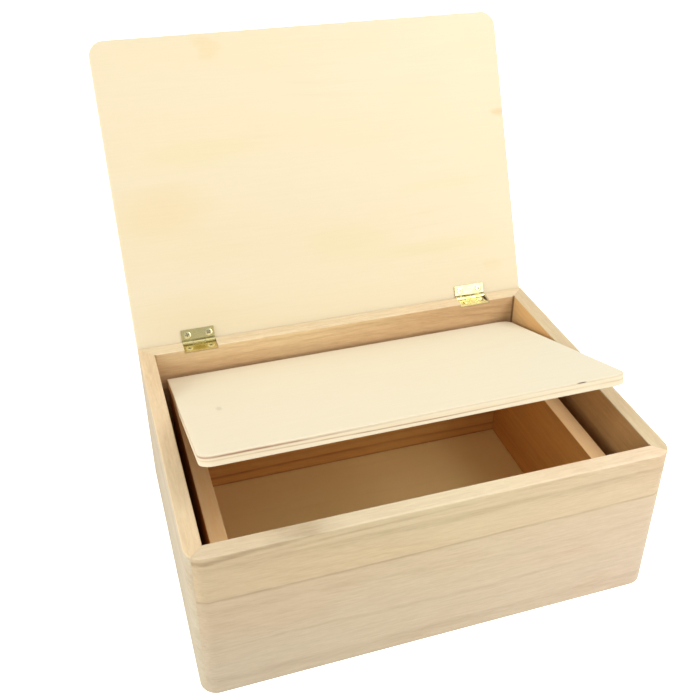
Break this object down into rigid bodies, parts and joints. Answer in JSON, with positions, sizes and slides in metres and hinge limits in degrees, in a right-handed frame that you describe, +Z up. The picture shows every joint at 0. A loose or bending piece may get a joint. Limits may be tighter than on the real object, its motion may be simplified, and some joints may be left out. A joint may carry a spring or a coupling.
{
  "type": "art supply box",
  "caption": "Unfinished wooden art supply box with mitred walls, a hinged plywood lid standing open, inner dividers and a tilting plywood board over the main compartment.",
  "frame": {"origin": "middle of the box's footprint, on the underside of the floor panel", "axes": "+Z up, -Y towards the front wall, +X towards the right wall as seen from the front"},
  "size_m": [0.35, 0.3606, 0.3554],
  "materials": {
    "solid_wood": "unfinished pale straight-grained wood, planed smooth",
    "divider_wood": "unfinished pale straight-grained wood",
    "floor_plywood": "unfinished plywood",
    "lid_plywood": "unfinished fine-grained plywood, sanded",
    "board_plywood": "unfinished fine-grained plywood with plies showing at the edges",
    "brass": "bright plated brass"
  },
  "bodies": {
    "box": {"front_panel": "solid_wood", "back_panel": "solid_wood", "left_panel": "solid_wood", "right_panel": "solid_wood", "floor_panel": "floor_plywood", "left_divider": "divider_wood", "right_divider": "divider_wood", "back_divider": "divider_wood", "lid_hinge_left_box_leaf": "brass", "lid_hinge_left_pin": "brass", "lid_hinge_left_box_screw_1": "brass", "lid_hinge_left_box_screw_2": "brass", "lid_hinge_right_box_leaf": "brass", "lid_hinge_right_pin": "brass", "lid_hinge_right_box_screw_1": "brass", "lid_hinge_right_box_screw_2": "brass", "board_hinge_left_divider_leaf": "brass", "board_hinge_left_pin": "brass", "board_hinge_left_divider_screw_1": "brass", "board_hinge_right_divider_leaf": "brass", "board_hinge_right_pin": "brass", "board_hinge_right_divider_screw_1": "brass"},
    "lid": {"lid_panel": "lid_plywood", "lid_hinge_left_lid_leaf": "brass", "lid_hinge_left_lid_screw_1": "brass", "lid_hinge_left_lid_screw_2": "brass", "lid_hinge_right_lid_leaf": "brass", "lid_hinge_right_lid_screw_1": "brass", "lid_hinge_right_lid_screw_2": "brass"},
    "board": {"tilt_board": "board_plywood", "board_hinge_left_board_leaf": "brass", "board_hinge_left_board_screw_1": "brass", "board_hinge_right_board_leaf": "brass", "board_hinge_right_board_screw_1": "brass"}
  },
  "joints": [
    {"name": "lid_hinge", "type": "hinge", "parent": "box", "child": "lid", "pos_m": [0, 0.1243, 0.1294], "axis": [1, 0, 0], "range_deg": [0, 114.3]},
    {"name": "board_hinge", "type": "hinge", "parent": "box", "child": "board", "pos_m": [0, 0.1082, 0.09875], "axis": [1, 0, 0], "range_deg": [0, 19.4]}
  ],
  "couplings": [
    {"joint": "board_hinge", "follows": "lid_hinge", "ratio": 0.1697}
  ]
}
